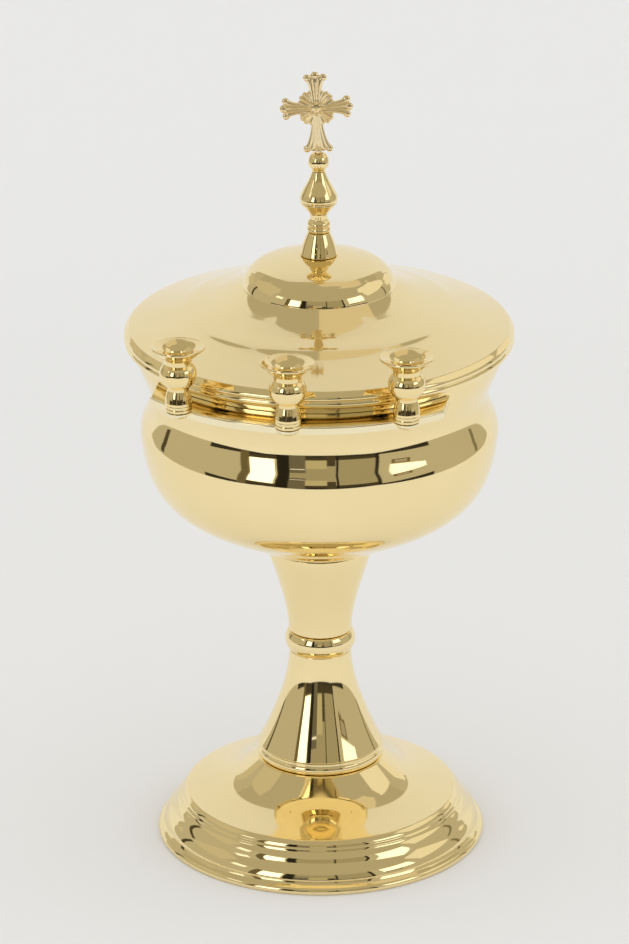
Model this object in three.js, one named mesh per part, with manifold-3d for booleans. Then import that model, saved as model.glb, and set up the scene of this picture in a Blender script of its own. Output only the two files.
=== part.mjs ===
// Holy water bowl: a gilded brass bowl on a foot, with a lift-off lid that carries a cross,
// and three candle sockets on a ledge in front of the lid.
// Millimetres, +Z up, standing on z = 0, with the middle candle socket on the -Y side.
// The pieces are drawn about the axis of the bowl, and the whole is then moved back so that
// the origin lies under the middle of its box, sockets included.
import * as THREE from 'three';
import Module from 'manifold-3d';
import { mergeVertices } from 'three/addons/utils/BufferGeometryUtils.js';

const wasm = await Module();
wasm.setup();

// Driving dimensions

const SEAT_GAP = 0.25; // between pieces that rest on each other
const SHEET = 1.4; // spun brass sheet

const FOOT_R = 94.6;
const FOOT_BEAD_H = 4;
const FOOT_TOP_Z = 47.2;
const FOOT_NECK_R = 35.8;

const FLANGE_R = 36.3;
const FLANGE_TOP_Z = 54.3;

const LOWER_STEM_BASE_R = 35.4;
const LOWER_STEM_TOP_R = 17.8;
const LOWER_STEM_TOP_Z = 113.4;

const COLLAR_R = 20.3;
const COLLAR_TOP_Z = 125.2;

const UPPER_STEM_BASE_R = 18.1;
const UPPER_STEM_TOP_R = 29.9;
const UPPER_STEM_TOP_Z = 177.3;

const BOWL_BASE_R = 29.6;
const BOWL_BASE_Z = UPPER_STEM_TOP_Z + SEAT_GAP;
const BOWL_CREASE = [50, 188.2];
const BOWL_BELLY = [101.3, 249];
const BOWL_SHOULDER = [99.2, 258];
const BOWL_WAIST = [95.6, 272];
const BOWL_LIP_R = 104;
const BOWL_LIP_Z = 300.6;

const LID_R = 109.9;
const LID_BASE_Z = BOWL_LIP_Z + SEAT_GAP;
const LID_CREASE_R = 43.1;
const LID_CREASE_Z = 335.2;
const LID_TOP_R = 10.6;
const LID_TOP_Z = 352.5;

const RING_R = 99.6; // band that locates the lid in the mouth
const RING_LOW_Z = 291;

const LEDGE_R = 124;
const LEDGE_ARC_R = 114; // outer edge, centred forward of the axis
const LEDGE_HALF_W = 81.5;
const LEDGE_TOP_Z = 297;
const LEDGE_T = 4.4;
const LEDGE_EDGE_ROUND = 1.2;
const EAR_T = 2.6;
const EAR_TOP_R = 7.8;
const EAR_LOW_R = 5.6;

const SOCKET_CIRCLE_R = 125;
const SOCKET_STEP = THREE.MathUtils.degToRad(30.2);
const SOCKET_H = 37.3;
const SOCKET_DISH_R = 14.6;
const CANDLE_HOLE_R = 5.65;
const CANDLE_HOLE_FLOOR = 21;

const SOCKET_SCREW_R = 1.5;
const SOCKET_SCREW_LEN = 10;
const SOCKET_SCREW_HEAD_R = 3.2;
const SOCKET_SCREW_HEAD_H = 1.8;

const TIE_ROD_R = 4;
const TIE_ROD_HOLE_R = 4.4;
const TIE_ROD_LOW_Z = 32;
const TIE_NUT_ACROSS_FLATS = 13;
const TIE_NUT_H = 6.5;
const FOOT_WASHER_R = 15;
const FOOT_WASHER_T = 1.6;
const BOSS_R = 21;
const BOSS_H = 9;

const FINIAL_ROD_R = 2;
const FINIAL_HOLE_R = 2.3;
const FINIAL_NUT_ACROSS_FLATS = 7;
const FINIAL_NUT_H = 3.2;
const FINIAL_WASHER_R = 8;
const FINIAL_WASHER_T = 0.8;

const CROSS_Z = 438.7;
const CROSS_LEAN = THREE.MathUtils.degToRad(2.5);
const CROSS_TURN = THREE.MathUtils.degToRad(7.87);
const CROSS_T = 2.4;
const CROSS_EDGE_BEVEL = 0.5;
const CROSS_RELIEF = 0.7;
const CROSS_RIB_START = 3;
const CROSS_SIDE_ARM = 20.4;
const CROSS_TOP_ARM = 20.9;
const CROSS_LOWER_ARM = 26.2;
const CROSS_RAY_R = 11.4;
const CROSS_RAY_START = 2;
const CROSS_RAY_W = 3;
const CROSS_RAYS_PER_QUARTER = 4;
const CROSS_RAY_STEP = THREE.MathUtils.degToRad(16);
const CROSS_ROSETTE_R = 4.6;
const CROSS_BEADS = 8;
const CROSS_BEAD_R = 1.25;
const CROSS_BEAD_CIRCLE_R = 3.1;
const CROSS_BEAD_RELIEF = 1.6;

// Facets round the axis, fewer on the smaller pieces
const FACETS_SHELL = 36;
const FACETS_STEM = 20;
const FACETS_SMALL = 16;
const FACETS_ROD = 8;

// Materials

const gilt = (roughness) => new THREE.MeshStandardMaterial({ color: 0xe6c173, metalness: 1, roughness });
const brass = () => new THREE.MeshStandardMaterial({ color: 0xb08d4a, metalness: 1, roughness: 0.35 });
const steel = () => new THREE.MeshStandardMaterial({ color: 0x9a9c9e, metalness: 1, roughness: 0.3 });

const part = new THREE.Group();

function addPiece(name, geometry, material, parent = part) {
  const mesh = new THREE.Mesh(geometry, material);
  mesh.name = name;
  parent.add(mesh);
  return mesh;
}

// Shape helpers

/** Draws an outline in the r-z half plane and returns its points; curves get a few steps each. */
function outline(draw, steps = 3) {
  const path = new THREE.Path();
  draw(path);
  return path.getPoints(steps);
}

/** Revolves an outline that runs up its outer side and down its inner side about Z. */
function revolve(points, facets, closed = true) {
  const loop = closed ? [...points, points[0].clone()] : points;
  return new THREE.LatheGeometry(loop, facets).rotateX(Math.PI / 2);
}

/** A plain turned ring or washer. */
function ring(innerR, outerR, lowZ, highZ, facets) {
  const section = outline((p) => {
    p.moveTo(innerR, lowZ);
    p.lineTo(outerR, lowZ);
    p.lineTo(outerR, highZ);
    p.lineTo(innerR, highZ);
  });
  return revolve(section, facets);
}

/** A solid bar standing on Z. */
function bar(radius, lowZ, highZ, facets) {
  return new THREE.CylinderGeometry(radius, radius, highZ - lowZ, facets)
    .rotateX(Math.PI / 2)
    .translate(0, 0, (lowZ + highZ) / 2);
}

/** A hexagon nut with a plain bore. */
function hexNut(acrossFlats, boreR, lowZ, highZ) {
  const shape = new THREE.Shape();
  const cornerR = acrossFlats / Math.sqrt(3);
  for (let i = 0; i < 6; i++) {
    const angle = (i * Math.PI) / 3;
    const corner = [cornerR * Math.cos(angle), cornerR * Math.sin(angle)];
    if (i === 0) shape.moveTo(...corner);
    else shape.lineTo(...corner);
  }
  shape.holes.push(new THREE.Path().absarc(0, 0, boreR, 0, 2 * Math.PI, true));
  const options = { depth: highZ - lowZ, bevelEnabled: false, curveSegments: 6 };
  return new THREE.ExtrudeGeometry(shape, options).translate(0, 0, lowZ);
}

function toSolid(geometry) {
  const bare = geometry.index ? geometry.toNonIndexed() : geometry.clone();
  bare.deleteAttribute('normal');
  bare.deleteAttribute('uv');
  const merged = mergeVertices(bare, 1e-4);
  const mesh = new wasm.Mesh({
    numProp: 3,
    vertProperties: new Float32Array(merged.attributes.position.array),
    triVerts: new Uint32Array(merged.index.array),
  });
  return new wasm.Manifold(mesh);
}

function toGeometry(solid) {
  const mesh = solid.getMesh();
  const geometry = new THREE.BufferGeometry();
  geometry.setAttribute('position', new THREE.BufferAttribute(new Float32Array(mesh.vertProperties), 3));
  geometry.setIndex(new THREE.BufferAttribute(new Uint32Array(mesh.triVerts), 1));
  geometry.computeVertexNormals();
  return geometry;
}

const join = (geometries) => geometries.map(toSolid).reduce((sum, solid) => sum.add(solid));

// Foot: a spun shell with a rolled bead, a rippled wall, a flat brim and a hollowed neck like the
// bell of a trumpet, open underneath, with its fixing inside

const footOuter = outline((p) => {
  p.moveTo(FOOT_R - 1, 0);
  p.quadraticCurveTo(FOOT_R + 0.7, FOOT_BEAD_H / 2, 93.2, FOOT_BEAD_H);
  p.lineTo(92.4, 4.4);
  p.lineTo(91, 5.2);
  p.lineTo(90, 6.8);
  p.lineTo(90.6, 7.4);
  p.bezierCurveTo(90.1, 9.6, 88.8, 11.6, 87.2, 13.1);
  p.bezierCurveTo(86.1, 14.1, 85.2, 15.4, 84.5, 16.7);
  p.bezierCurveTo(83.9, 18, 83, 19.3, 81.9, 20.3);
  p.lineTo(80.9, 22);
  p.lineTo(79.9, 23.2);
  p.bezierCurveTo(79.7, 24.4, 78.8, 25.4, 78.1, 26.3);
  p.lineTo(76.8, 27.2);
  p.bezierCurveTo(70.3, 28.4, 63.7, 29.8, 57.5, 32.1);
  p.bezierCurveTo(53.6, 33.6, 49.9, 35.7, 46.6, 38.3);
  p.lineTo(36.6, FOOT_TOP_Z - 0.3);
  p.lineTo(FOOT_NECK_R, FOOT_TOP_Z);
}, 2);
const footInner = outline((p) => {
  p.moveTo(TIE_ROD_HOLE_R, FOOT_TOP_Z);
  p.lineTo(TIE_ROD_HOLE_R, FOOT_TOP_Z - 2);
  p.lineTo(FOOT_NECK_R - 1.2, FOOT_TOP_Z - 2);
  p.lineTo(45.4, 37);
  p.bezierCurveTo(48.9, 34.2, 52.8, 31.9, 57, 30.3);
  p.bezierCurveTo(63.1, 28, 69.5, 26.6, 75.9, 25.3);
  p.lineTo(78.4, 22.3);
  p.lineTo(80.6, 19.2);
  p.lineTo(83.2, 15.7);
  p.lineTo(85.9, 12.1);
  p.lineTo(88.9, 7);
  p.lineTo(91.2, 3.6);
  p.lineTo(91.4, 0);
}, 2);
addPiece('foot_shell', revolve([...footOuter, ...footInner], FACETS_SHELL), gilt(0.08));

const footWasherTop = FOOT_TOP_Z - 2 - SEAT_GAP;
const footWasherLow = footWasherTop - FOOT_WASHER_T;
const footWasher = ring(TIE_ROD_HOLE_R, FOOT_WASHER_R, footWasherLow, footWasherTop, FACETS_STEM);
addPiece('foot_washer', footWasher, steel());

const tieNutTop = footWasherLow - SEAT_GAP;
const tieNut = hexNut(TIE_NUT_ACROSS_FLATS, TIE_ROD_HOLE_R, tieNutTop - TIE_NUT_H, tieNutTop);
addPiece('tie_rod_nut', tieNut, steel());

// Stem: a beaded flange, two cones and a collar, held together by one rod up the middle

const flangeLow = FOOT_TOP_Z + SEAT_GAP;
const flange = outline((p) => {
  p.moveTo(TIE_ROD_HOLE_R, flangeLow);
  p.lineTo(FLANGE_R - 1.4, flangeLow);
  p.quadraticCurveTo(FLANGE_R + 1, flangeLow + 2.1, 35.9, flangeLow + 4.7);
  p.lineTo(35.1, FLANGE_TOP_Z - 1.4);
  p.lineTo(35.1, FLANGE_TOP_Z);
  p.lineTo(24, FLANGE_TOP_Z);
  p.lineTo(23, flangeLow + 2.4);
  p.lineTo(TIE_ROD_HOLE_R, flangeLow + 2.4);
});
addPiece('stem_flange', revolve(flange, FACETS_STEM), gilt(0.08));

const lowerStemBase = FLANGE_TOP_Z + SEAT_GAP;
const lowerStemOuter = outline((p) => {
  p.moveTo(LOWER_STEM_BASE_R, lowerStemBase);
  p.lineTo(LOWER_STEM_BASE_R + 0.5, lowerStemBase + 0.8);
  p.lineTo(35.2, 56.6);
  p.quadraticCurveTo(30.8, 64.3, 25.9, 77.3);
  p.bezierCurveTo(22.1, 87.6, 18.3, 97.8, LOWER_STEM_TOP_R, LOWER_STEM_TOP_Z - 0.6);
  p.lineTo(LOWER_STEM_TOP_R - 0.6, LOWER_STEM_TOP_Z);
}, 5);
const lowerStemInner = outline((p) => {
  p.moveTo(TIE_ROD_HOLE_R, LOWER_STEM_TOP_Z);
  p.lineTo(TIE_ROD_HOLE_R, LOWER_STEM_TOP_Z - 2);
  p.lineTo(LOWER_STEM_TOP_R - SHEET, LOWER_STEM_TOP_Z - 2);
  p.bezierCurveTo(16.9, 97.3, 20.6, 87.1, 24.6, 76.8);
  p.quadraticCurveTo(29.4, 63.8, LOWER_STEM_BASE_R - SHEET - 0.3, 56);
  p.lineTo(LOWER_STEM_BASE_R - SHEET, lowerStemBase);
}, 4);
addPiece('lower_stem', revolve([...lowerStemOuter, ...lowerStemInner], FACETS_STEM), gilt(0.08));

const collarLow = LOWER_STEM_TOP_Z + SEAT_GAP;
const collar = outline((p) => {
  p.moveTo(TIE_ROD_HOLE_R, collarLow);
  p.lineTo(17.2, collarLow);
  p.lineTo(18.4, collarLow + 0.3);
  p.quadraticCurveTo(2 * COLLAR_R - 18.5, (collarLow + COLLAR_TOP_Z) / 2, 18.4, COLLAR_TOP_Z - 0.3);
  p.lineTo(17.2, COLLAR_TOP_Z);
  p.lineTo(TIE_ROD_HOLE_R, COLLAR_TOP_Z);
}, 4);
addPiece('stem_collar', revolve(collar, FACETS_STEM), gilt(0.08));

const upperStemBase = COLLAR_TOP_Z + SEAT_GAP;
const upperStemOuter = outline((p) => {
  p.moveTo(UPPER_STEM_BASE_R - 0.5, upperStemBase);
  p.lineTo(UPPER_STEM_BASE_R, upperStemBase + 0.5);
  p.bezierCurveTo(18.3, 145.8, 30, 170.4, UPPER_STEM_TOP_R, UPPER_STEM_TOP_Z);
}, 5);
const upperStemInner = outline((p) => {
  p.moveTo(UPPER_STEM_TOP_R - SHEET, UPPER_STEM_TOP_Z);
  p.bezierCurveTo(28.4, 171, 17, 146, UPPER_STEM_BASE_R - SHEET, upperStemBase + 2);
  p.lineTo(TIE_ROD_HOLE_R, upperStemBase + 2);
  p.lineTo(TIE_ROD_HOLE_R, upperStemBase);
}, 4);
addPiece('upper_stem', revolve([...upperStemOuter, ...upperStemInner], FACETS_STEM), gilt(0.08));

const bossLow = UPPER_STEM_TOP_Z - BOSS_H;
const boss = outline((p) => {
  p.moveTo(0, UPPER_STEM_TOP_Z - 2);
  p.lineTo(TIE_ROD_HOLE_R, UPPER_STEM_TOP_Z - 2);
  p.lineTo(TIE_ROD_HOLE_R, bossLow);
  p.lineTo(BOSS_R - 1, bossLow);
  p.lineTo(BOSS_R, bossLow + 1);
  p.lineTo(BOSS_R, UPPER_STEM_TOP_Z);
  p.lineTo(0, UPPER_STEM_TOP_Z);
});
addPiece('bowl_boss', revolve(boss, FACETS_STEM, false), brass());

const tieRod = bar(TIE_ROD_R, TIE_ROD_LOW_Z, UPPER_STEM_TOP_Z - 2 - SEAT_GAP, FACETS_ROD);
addPiece('tie_rod', tieRod, steel());

// Bowl: one spun shell with a waist under its flared lip

const bowlOuter = outline((p) => {
  p.moveTo(0, BOWL_BASE_Z);
  p.lineTo(BOWL_BASE_R, BOWL_BASE_Z);
  p.bezierCurveTo(36.2, 180.6, 42.7, 182.9, ...BOWL_CREASE);
  p.bezierCurveTo(80.3, 202.9, 99, 208.3, ...BOWL_BELLY);
  p.lineTo(100.9, 253.7);
  p.lineTo(...BOWL_SHOULDER);
  p.bezierCurveTo(97.2, 262.4, 95.6, 267.2, ...BOWL_WAIST);
  p.bezierCurveTo(96.9, 281, BOWL_LIP_R, 290.3, BOWL_LIP_R, BOWL_LIP_Z - 1.2);
  p.lineTo(BOWL_LIP_R - 0.6, BOWL_LIP_Z);
}, 4);
const bowlInner = outline((p) => {
  p.moveTo(BOWL_LIP_R - SHEET, BOWL_LIP_Z);
  p.bezierCurveTo(102.3, 290, 95.2, 281, BOWL_WAIST[0] - SHEET, BOWL_WAIST[1]);
  p.bezierCurveTo(94.2, 267.2, 95.8, 262.2, BOWL_SHOULDER[0] - SHEET, BOWL_SHOULDER[1] - 0.4);
  p.lineTo(BOWL_BELLY[0] - SHEET, BOWL_BELLY[1]);
  p.bezierCurveTo(97.6, 209.7, 79.9, 204.4, 49.4, 189.6);
  p.lineTo(BOWL_BASE_R - 0.6, BOWL_BASE_Z + SHEET + 0.4);
  p.lineTo(0, BOWL_BASE_Z + SHEET);
});
addPiece('bowl_shell', revolve([...bowlOuter, ...bowlInner], FACETS_SHELL, false), gilt(0.06));

// Candle ledge: a plate that hugs the lip, cut off square at both ends, with an ear under each socket

const socketAngles = [-SOCKET_STEP, 0, SOCKET_STEP];
const socketPlaces = socketAngles.map((angle) => [
  SOCKET_CIRCLE_R * Math.sin(angle),
  -SOCKET_CIRCLE_R * Math.cos(angle),
]);
const ledgeLow = LEDGE_TOP_Z - LEDGE_T;
const earLow = LEDGE_TOP_Z - EAR_T;
const ledgeInnerR = BOWL_LIP_R + 0.3;
const ledgeCentreY = -(LEDGE_R - LEDGE_ARC_R);

/** The plate's outline at its full width, or drawn in by the rounding of its top edge. */
function ledgeOutline(inset) {
  const outerR = LEDGE_ARC_R - inset;
  const halfW = LEDGE_HALF_W - inset;
  const outerHalf = Math.asin(halfW / outerR);
  const innerHalf = Math.asin(halfW / ledgeInnerR);
  const shape = new THREE.Shape();
  shape.absarc(0, ledgeCentreY, outerR, -Math.PI / 2 - outerHalf, -Math.PI / 2 + outerHalf, false);
  shape.absarc(0, 0, ledgeInnerR, -Math.PI / 2 + innerHalf, -Math.PI / 2 - innerHalf, true);
  return shape;
}

const ledgeCurveSteps = 9;
const ledgeBody = new THREE.ExtrudeGeometry(ledgeOutline(0), {
  depth: LEDGE_T - LEDGE_EDGE_ROUND,
  bevelEnabled: false,
  curveSegments: ledgeCurveSteps,
}).translate(0, 0, ledgeLow);
const ledgeCap = new THREE.ExtrudeGeometry(ledgeOutline(LEDGE_EDGE_ROUND), {
  depth: LEDGE_EDGE_ROUND,
  bevelEnabled: false,
  curveSegments: ledgeCurveSteps,
}).translate(0, 0, LEDGE_TOP_Z - LEDGE_EDGE_ROUND);
let ledge = join([ledgeBody, ledgeCap]);
for (const [x, y] of socketPlaces) {
  const ear = new THREE.CylinderGeometry(EAR_TOP_R, EAR_LOW_R, EAR_T, FACETS_SMALL)
    .rotateX(Math.PI / 2)
    .translate(x, y, LEDGE_TOP_Z - EAR_T / 2);
  const counterbore = bar(SOCKET_SCREW_HEAD_R + 0.6, ledgeLow - 1, earLow, 12).translate(x, y, 0);
  const screwHole = bar(SOCKET_SCREW_R + 0.3, ledgeLow - 1, LEDGE_TOP_Z + 1, FACETS_ROD).translate(x, y, 0);
  ledge = ledge.add(toSolid(ear)).subtract(toSolid(counterbore)).subtract(toSolid(screwHole));
}
addPiece('candle_ledge', toGeometry(ledge), gilt(0.08));

// Candle sockets: turned, a dish over a ball over a foot, with a blind hole for the candle

const socketSection = outline((p) => {
  p.moveTo(0, SOCKET_SCREW_LEN);
  p.lineTo(SOCKET_SCREW_R + 0.3, SOCKET_SCREW_LEN);
  p.lineTo(SOCKET_SCREW_R + 0.3, 0);
  p.lineTo(8.2, 0);
  p.lineTo(8.6, 2);
  p.quadraticCurveTo(8.2, 7, 5.9, 12.5);
  p.lineTo(6.5, 14.5);
  p.bezierCurveTo(11.4, 17.4, 11.4, 25, 7.6, 27.6);
  p.quadraticCurveTo(7.4, 30.8, 10.2, 32.5);
  p.lineTo(SOCKET_DISH_R, SOCKET_H - 0.7);
  p.lineTo(SOCKET_DISH_R - 0.3, SOCKET_H);
  p.quadraticCurveTo(9, 36, CANDLE_HOLE_R, 33.4);
  p.lineTo(CANDLE_HOLE_R, CANDLE_HOLE_FLOOR);
  p.lineTo(0, CANDLE_HOLE_FLOOR);
}, 2);
const sideNames = ['left', 'centre', 'right'];
socketPlaces.forEach(([x, y], i) => {
  const socket = addPiece(`candle_socket_${sideNames[i]}`, revolve(socketSection, FACETS_SMALL, false), gilt(0.12));
  socket.position.set(x, y, LEDGE_TOP_Z + SEAT_GAP);

  const headTop = earLow - SEAT_GAP;
  const shank = bar(SOCKET_SCREW_R, headTop - 0.5, LEDGE_TOP_Z + SOCKET_SCREW_LEN - 1, FACETS_ROD);
  const head = bar(SOCKET_SCREW_HEAD_R, headTop - SOCKET_SCREW_HEAD_H, headTop, 12);
  const screw = addPiece(`socket_screw_${sideNames[i]}`, toGeometry(join([shank, head])), steel());
  screw.position.set(x, y, 0);
});

// Lid: one spun shell with two beads at its rim and a dome in the middle

const lidOuter = outline((p) => {
  p.moveTo(LID_R - 2.7, LID_BASE_Z);
  p.lineTo(108.6, LID_BASE_Z + 0.8);
  p.quadraticCurveTo(LID_R + 1, 303.9, 109.2, 305.9);
  p.quadraticCurveTo(LID_R + 0.5, 307.6, 108.9, 309.2);
  p.lineTo(107, 311.2);
  p.lineTo(79, 320.8);
  p.lineTo(60.6, 327.6);
  p.lineTo(LID_CREASE_R, LID_CREASE_Z);
  p.bezierCurveTo(42.7, 338, 42, 341, 40.2, 343.2);
  p.bezierCurveTo(38.5, 345.2, 36.4, 347.1, 34, 348);
  p.bezierCurveTo(26.6, 350.9, 18.5, 352.2, LID_TOP_R, LID_TOP_Z);
}, 2);
const lidInner = outline((p) => {
  p.moveTo(FINIAL_HOLE_R, LID_TOP_Z);
  p.lineTo(FINIAL_HOLE_R, LID_TOP_Z - SHEET);
  p.lineTo(LID_TOP_R - 0.4, LID_TOP_Z - SHEET);
  p.bezierCurveTo(18, 350.8, 25.9, 349.6, 33.2, 346.7);
  p.bezierCurveTo(35.4, 345.8, 37.4, 344.1, 38.9, 342.3);
  p.bezierCurveTo(40.6, 340.3, 41.3, 337.6, LID_CREASE_R - SHEET, LID_CREASE_Z - 1);
  p.lineTo(60.1, 326.3);
  p.lineTo(78.5, 319.5);
  p.lineTo(105.6, 309.9);
  p.lineTo(105.8, LID_BASE_Z + 1.3);
  p.lineTo(RING_R + 2.2, LID_BASE_Z + 1.3);
  p.lineTo(RING_R + 2.2, LID_BASE_Z);
}, 2);
addPiece('lid_shell', revolve([...lidOuter, ...lidInner], FACETS_SHELL), gilt(0.06));

const locatingRing = outline((p) => {
  p.moveTo(RING_R - 1.2, RING_LOW_Z);
  p.lineTo(RING_R, RING_LOW_Z);
  p.lineTo(RING_R, LID_BASE_Z);
  p.lineTo(RING_R + 1.9, LID_BASE_Z);
  p.lineTo(RING_R + 1.9, LID_BASE_Z + 1.2);
  p.lineTo(RING_R - 1.2, LID_BASE_Z + 1.2);
});
addPiece('lid_locating_ring', revolve(locatingRing, FACETS_SHELL), gilt(0.12));

// Finial: four turned pieces on a rod through the lid, with the cross on top

const coneLow = LID_TOP_Z + SEAT_GAP;
const coneTop = 365.9;
const finialCone = outline((p) => {
  p.moveTo(FINIAL_HOLE_R, coneLow);
  p.lineTo(10.4, coneLow);
  p.lineTo(10.6, coneLow + 0.6);
  p.quadraticCurveTo(9.1, 359.8, 6.2, coneTop);
  p.lineTo(FINIAL_HOLE_R, coneTop);
});
addPiece('finial_cone', revolve(finialCone, FACETS_SMALL), gilt(0.12));

const ringLow = coneTop + SEAT_GAP;
const ringTop = 377.2;
const finialRing = outline((p) => {
  p.moveTo(FINIAL_HOLE_R, ringLow);
  p.lineTo(5.9, ringLow);
  p.quadraticCurveTo(7.3, ringLow + 1.6, 5.9, ringLow + 3.2);
  p.quadraticCurveTo(7.2, ringLow + 4.8, 5.6, ringLow + 6.6);
  p.lineTo(4.95, ringLow + 7.6);
  p.lineTo(4.95, ringTop);
  p.lineTo(FINIAL_HOLE_R, ringTop);
});
addPiece('finial_ring', revolve(finialRing, FACETS_SMALL), gilt(0.12));

const knopLow = ringTop + SEAT_GAP;
const knopTop = 401.6;
const finialKnop = outline((p) => {
  p.moveTo(FINIAL_HOLE_R, knopLow);
  p.lineTo(5.4, knopLow);
  p.quadraticCurveTo(7.4, 380.4, 10.4, 383.4);
  p.lineTo(10.3, 384.4);
  p.bezierCurveTo(11.9, 388.2, 6.2, 393.2, 3.6, knopTop);
  p.lineTo(FINIAL_HOLE_R, knopTop);
}, 4);
addPiece('finial_knop', revolve(finialKnop, FACETS_SMALL), gilt(0.12));

const ballLow = knopTop + SEAT_GAP;
const ballTop = 412;
const finialBall = outline((p) => {
  p.moveTo(FINIAL_HOLE_R, ballLow);
  p.lineTo(3.6, ballLow);
  p.quadraticCurveTo(3.6, 403.4, 5.6, 404.8);
  p.bezierCurveTo(6.2, 407.6, 5.6, 410.4, 3.8, ballTop);
  p.lineTo(FINIAL_HOLE_R, ballTop);
}, 4);
addPiece('finial_ball', revolve(finialBall, FACETS_SMALL), gilt(0.12));

const finialWasherTop = LID_TOP_Z - SHEET - SEAT_GAP;
const finialWasherLow = finialWasherTop - FINIAL_WASHER_T;
const finialWasher = ring(FINIAL_HOLE_R, FINIAL_WASHER_R, finialWasherLow, finialWasherTop, FACETS_SMALL);
addPiece('finial_washer', finialWasher, steel());

const finialNutTop = finialWasherLow - SEAT_GAP;
const finialNutLow = finialNutTop - FINIAL_NUT_H;
addPiece('finial_nut', hexNut(FINIAL_NUT_ACROSS_FLATS, FINIAL_HOLE_R, finialNutLow, finialNutTop), steel());

const finialRodTop = 407;
addPiece('finial_rod', bar(FINIAL_ROD_R, finialNutLow - 2, finialRodTop, FACETS_ROD), steel());

// Cross: a casting with ribbed arms, fans of rays between them and a rosette in the middle.
// It is drawn upright in the X-Z plane about its own centre, then leans and turns to the front.

/** A flat shape given in the cross's own plane, extruded both ways from the middle plane. */
function crossPlate(shape, thickness, bevel) {
  return new THREE.ExtrudeGeometry(shape, {
    depth: thickness - 2 * bevel,
    bevelEnabled: true,
    bevelThickness: bevel,
    bevelSize: bevel,
    bevelOffset: -bevel,
    bevelSegments: 1,
    curveSegments: 3,
  }).translate(0, 0, bevel - thickness / 2);
}

/** A shape about the Y axis from its right-hand half, which runs up from the axis and ends on it. */
function mirroredShape(half) {
  const left = half.slice(1, -1).reverse();
  return new THREE.Shape([...half, ...left.map((point) => new THREE.Vector2(-point.x, point.y))]);
}

/** One arm along +Y: a waisted root, then a spread into a trefoil of three lobes, with three ribs. */
function crossArm(length, rootHalfW, tipHalfW) {
  const lobeR = tipHalfW * 0.34;
  const sideLobe = { x: tipHalfW - lobeR, y: length - 2.3 * lobeR };
  const half = outline((p) => {
    p.moveTo(0, 0);
    p.lineTo(rootHalfW, 0);
    p.quadraticCurveTo(rootHalfW, sideLobe.y * 0.6, sideLobe.x, sideLobe.y - lobeR);
    p.absarc(sideLobe.x, sideLobe.y, lobeR, -Math.PI / 2, Math.PI * 0.55, false);
    p.absarc(0, length - 1.4 * lobeR, 1.4 * lobeR, Math.PI * 0.1, Math.PI / 2, false);
  }, 4);

  const ribs = [-1, 0, 1].map((side) => {
    const foot = side * rootHalfW * 0.62;
    const tip = side * sideLobe.x;
    const reach = side === 0 ? length - lobeR * 0.4 : sideLobe.y + lobeR * 0.7;
    const run = Math.hypot(tip - foot, reach - CROSS_RIB_START);
    return new THREE.OctahedronGeometry(1)
      .scale(lobeR * 0.42, run / 2, CROSS_T / 2 + CROSS_RELIEF)
      .rotateZ(-Math.atan2(tip - foot, reach - CROSS_RIB_START))
      .translate((foot + tip) / 2, (CROSS_RIB_START + reach) / 2, 0);
  });
  return [crossPlate(mirroredShape(half), CROSS_T, CROSS_EDGE_BEVEL), ...ribs];
}

/** One round-tipped ray of a fan, along +Y. */
function crossRay() {
  return new THREE.SphereGeometry(1, 6, 4)
    .scale(CROSS_RAY_W / 2, (CROSS_RAY_R - CROSS_RAY_START) / 2, CROSS_T / 2)
    .translate(0, (CROSS_RAY_R + CROSS_RAY_START) / 2, 0);
}

const quarter = Math.PI / 2;
const armHalfWidths = [
  [CROSS_TOP_ARM, 2.6, 6.6],
  [CROSS_SIDE_ARM, 2.6, 6.4],
  [CROSS_LOWER_ARM, 2.8, 8.3],
  [CROSS_SIDE_ARM, 2.6, 6.4],
];
const crossPieces = armHalfWidths.flatMap(([length, rootHalfW, tipHalfW], i) =>
  crossArm(length, rootHalfW, tipHalfW).map((piece) => piece.rotateZ(-i * quarter)),
);
for (let i = 0; i < 4; i++) {
  for (let j = 0; j < CROSS_RAYS_PER_QUARTER; j++) {
    const turn = (i + 0.5) * quarter + (j - (CROSS_RAYS_PER_QUARTER - 1) / 2) * CROSS_RAY_STEP;
    crossPieces.push(crossRay().rotateZ(turn));
  }
}

// The rosette: a boss ringed with beads, the same on both faces
const rosetteSection = outline((p) => {
  p.moveTo(0, -CROSS_T / 2 - 1.2);
  p.lineTo(CROSS_ROSETTE_R * 0.6, -CROSS_T / 2 - 1);
  p.lineTo(CROSS_ROSETTE_R, -CROSS_T / 2);
  p.lineTo(CROSS_ROSETTE_R, CROSS_T / 2);
  p.lineTo(CROSS_ROSETTE_R * 0.6, CROSS_T / 2 + 1);
  p.lineTo(0, CROSS_T / 2 + 1.2);
});
crossPieces.push(revolve(rosetteSection, 12, false));
const bead = new THREE.SphereGeometry(1, 6, 3)
  .rotateX(Math.PI / 2)
  .scale(CROSS_BEAD_R, CROSS_BEAD_R, CROSS_T / 2 + CROSS_BEAD_RELIEF);
crossPieces.push(bead.clone());
for (let i = 0; i < CROSS_BEADS; i++) {
  crossPieces.push(bead.clone().translate(0, CROSS_BEAD_CIRCLE_R, 0).rotateZ((i * 2 * Math.PI) / CROSS_BEADS));
}

// The foot of the lower arm is cut flat to stand on the ball, with a tang into the ball's bore
const crossFootY = -(CROSS_Z - ballTop - SEAT_GAP);
const belowFoot = new THREE.BoxGeometry(40, 20, 20).translate(0, crossFootY - 10, 0);
const tang = new THREE.CylinderGeometry(1.7, 1.7, 6, 8).translate(0, crossFootY - 1, 0);
const cross = join(crossPieces).subtract(toSolid(belowFoot)).add(toSolid(tang));

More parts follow.
